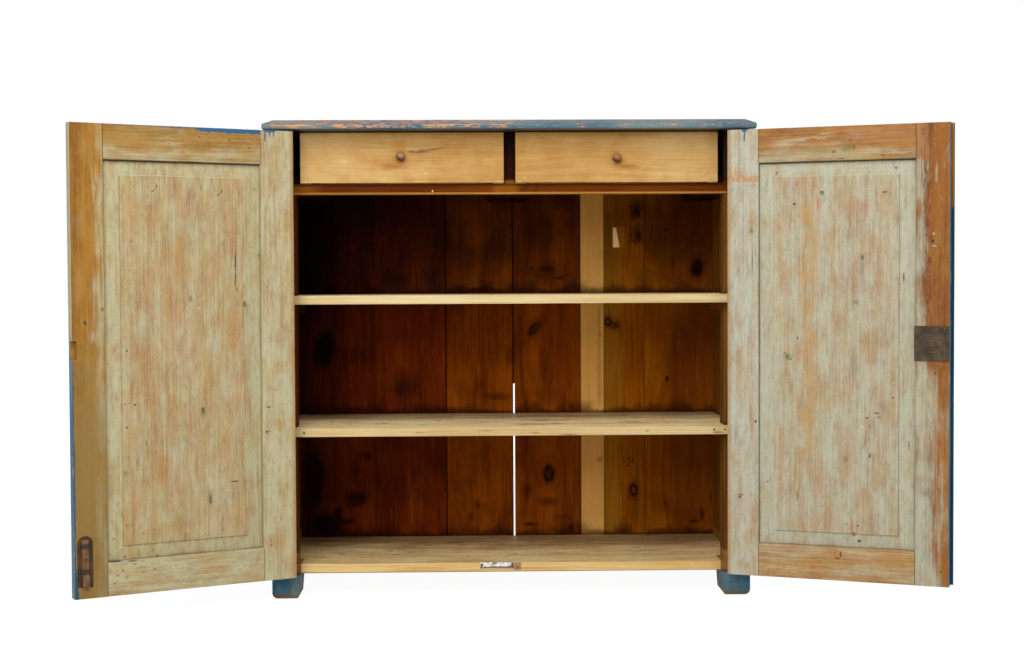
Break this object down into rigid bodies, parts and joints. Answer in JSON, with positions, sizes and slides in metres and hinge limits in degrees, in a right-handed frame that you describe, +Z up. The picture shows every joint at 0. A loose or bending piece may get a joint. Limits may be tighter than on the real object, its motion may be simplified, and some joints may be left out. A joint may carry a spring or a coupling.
{
  "type": "jelly cupboard",
  "caption": "Low pine cupboard with panelled doors over shelves, small drawers under a bevelled top, a boarded back, and an iron lock and sliding bolt that fasten the doors.",
  "frame": {"origin": "on the floor under the middle of the cupboard as it stands with its doors open", "axes": "+Z up, +X to the right as seen from the front, +Y from the front to the back"},
  "size_m": [1.9975, 0.7642, 1.144],
  "materials": {
    "back_plank_1": "dark red-brown aged pine",
    "back_plank_2": "dark red-brown aged pine",
    "back_plank_3": "dark red-brown aged pine",
    "back_plank_4": "dark red-brown aged pine",
    "back_plank_5": "dark red-brown aged pine",
    "back_plank_6": "dark red-brown aged pine",
    "back_plank_7": "dark red-brown aged pine",
    "bolt_keeper": "old dark iron, matt",
    "bottom_board": "aged bare pine",
    "drawer_divider": "aged bare pine",
    "drawer_rail": "aged bare pine",
    "drawer_runners": "aged bare pine",
    "flush_bolt_bar": "old dark iron, matt",
    "flush_bolt_guides": "old dark iron, matt",
    "flush_bolt_plate": "old dark iron, matt",
    "front_post_left": "blue milk paint over pine",
    "front_post_right": "blue milk paint over pine",
    "hinge_pins": "old dark iron, matt",
    "left_door_bottom_rail": "pine under worn grey-green milk paint, blue outside",
    "left_door_free_stile": "orange-brown bare pine, blue outside",
    "left_door_hinge_leaves": "old dark iron, matt",
    "left_door_hinge_stile": "pine under worn grey-green milk paint, blue outside",
    "left_door_panel": "pine under worn grey-green milk paint, blue outside",
    "left_door_top_rail": "pine under worn grey-green milk paint, blue outside",
    "left_drawer_back": "aged bare pine",
    "left_drawer_bottom": "aged bare pine",
    "left_drawer_front": "golden bare pine",
    "left_drawer_knob": "aged bare pine",
    "left_drawer_sides": "aged bare pine",
    "lock_bolt": "old dark iron, matt",
    "lock_plate": "old dark iron, matt",
    "meeting_strip": "blue milk paint over pine",
    "middle_shelf": "aged bare pine",
    "post_hinge_leaves": "old dark iron, matt",
    "rear_post_left": "blue milk paint over pine",
    "rear_post_right": "blue milk paint over pine",
    "right_door_bottom_rail": "pine under worn grey-green milk paint, blue outside",
    "right_door_free_stile": "orange-brown bare pine, blue outside",
    "right_door_hinge_leaves": "old dark iron, matt",
    "right_door_hinge_stile": "pine under worn grey-green milk paint, blue outside",
    "right_door_panel": "pine under worn grey-green milk paint, blue outside",
    "right_door_top_rail": "pine under worn grey-green milk paint, blue outside",
    "right_drawer_back": "aged bare pine",
    "right_drawer_bottom": "aged bare pine",
    "right_drawer_front": "golden bare pine",
    "right_drawer_knob": "aged bare pine",
    "right_drawer_sides": "aged bare pine",
    "shelf_ledges": "aged bare pine",
    "side_boards_left": "blue milk paint over pine",
    "side_boards_right": "blue milk paint over pine",
    "top_board": "worn grey-blue milk paint over pine",
    "upper_shelf": "aged bare pine"
  },
  "bodies": {
    "carcass": {"back_plank_1": "back_plank_1", "back_plank_2": "back_plank_2", "back_plank_3": "back_plank_3", "back_plank_4": "back_plank_4", "back_plank_5": "back_plank_5", "back_plank_6": "back_plank_6", "back_plank_7": "back_plank_7", "bolt_keeper": "bolt_keeper", "bottom_board": "bottom_board", "drawer_divider": "drawer_divider", "drawer_rail": "drawer_rail", "drawer_runners": "drawer_runners", "front_post_left": "front_post_left", "front_post_right": "front_post_right", "hinge_pins": "hinge_pins", "middle_shelf": "middle_shelf", "post_hinge_leaves": "post_hinge_leaves", "rear_post_left": "rear_post_left", "rear_post_right": "rear_post_right", "shelf_ledges": "shelf_ledges", "side_boards_left": "side_boards_left", "side_boards_right": "side_boards_right", "top_board": "top_board", "upper_shelf": "upper_shelf"},
    "left_door": {"flush_bolt_guides": "flush_bolt_guides", "flush_bolt_plate": "flush_bolt_plate", "left_door_bottom_rail": "left_door_bottom_rail", "left_door_free_stile": "left_door_free_stile", "left_door_hinge_leaves": "left_door_hinge_leaves", "left_door_hinge_stile": "left_door_hinge_stile", "left_door_panel": "left_door_panel", "left_door_top_rail": "left_door_top_rail"},
    "right_door": {"lock_plate": "lock_plate", "meeting_strip": "meeting_strip", "right_door_bottom_rail": "right_door_bottom_rail", "right_door_free_stile": "right_door_free_stile", "right_door_hinge_leaves": "right_door_hinge_leaves", "right_door_hinge_stile": "right_door_hinge_stile", "right_door_panel": "right_door_panel", "right_door_top_rail": "right_door_top_rail"},
    "flush_bolt": {"flush_bolt_bar": "flush_bolt_bar"},
    "lock_bolt": {"lock_bolt": "lock_bolt"},
    "left_drawer": {"left_drawer_back": "left_drawer_back", "left_drawer_bottom": "left_drawer_bottom", "left_drawer_front": "left_drawer_front", "left_drawer_knob": "left_drawer_knob", "left_drawer_sides": "left_drawer_sides"},
    "right_drawer": {"right_drawer_back": "right_drawer_back", "right_drawer_bottom": "right_drawer_bottom", "right_drawer_front": "right_drawer_front", "right_drawer_knob": "right_drawer_knob", "right_drawer_sides": "right_drawer_sides"}
  },
  "joints": [
    {"name": "left_door_hinge", "type": "hinge", "parent": "carcass", "child": "left_door", "pos_m": [-0.52625, -0.09636, 0.58475], "axis": [0, 0, 1], "range_deg": [-27, 151]},
    {"name": "right_door_hinge", "type": "hinge", "parent": "carcass", "child": "right_door", "pos_m": [0.52625, -0.09636, 0.58475], "axis": [0, 0, -1], "range_deg": [-21, 157]},
    {"name": "flush_bolt_slide", "type": "slide", "parent": "left_door", "child": "flush_bolt", "axis": [0, 0, -1], "range_m": [0, 0.018]},
    {"name": "lock_bolt_slide", "type": "slide", "parent": "right_door", "child": "lock_bolt", "axis": [0.9205, -0.3907, 0], "range_m": [0, 0.012]},
    {"name": "left_drawer_slide", "type": "slide", "parent": "carcass", "child": "left_drawer", "axis": [0, 1, 0], "range_m": [-0.26, 0.008]},
    {"name": "right_drawer_slide", "type": "slide", "parent": "carcass", "child": "right_drawer", "axis": [0, 1, 0], "range_m": [-0.26, 0.008]}
  ]
}
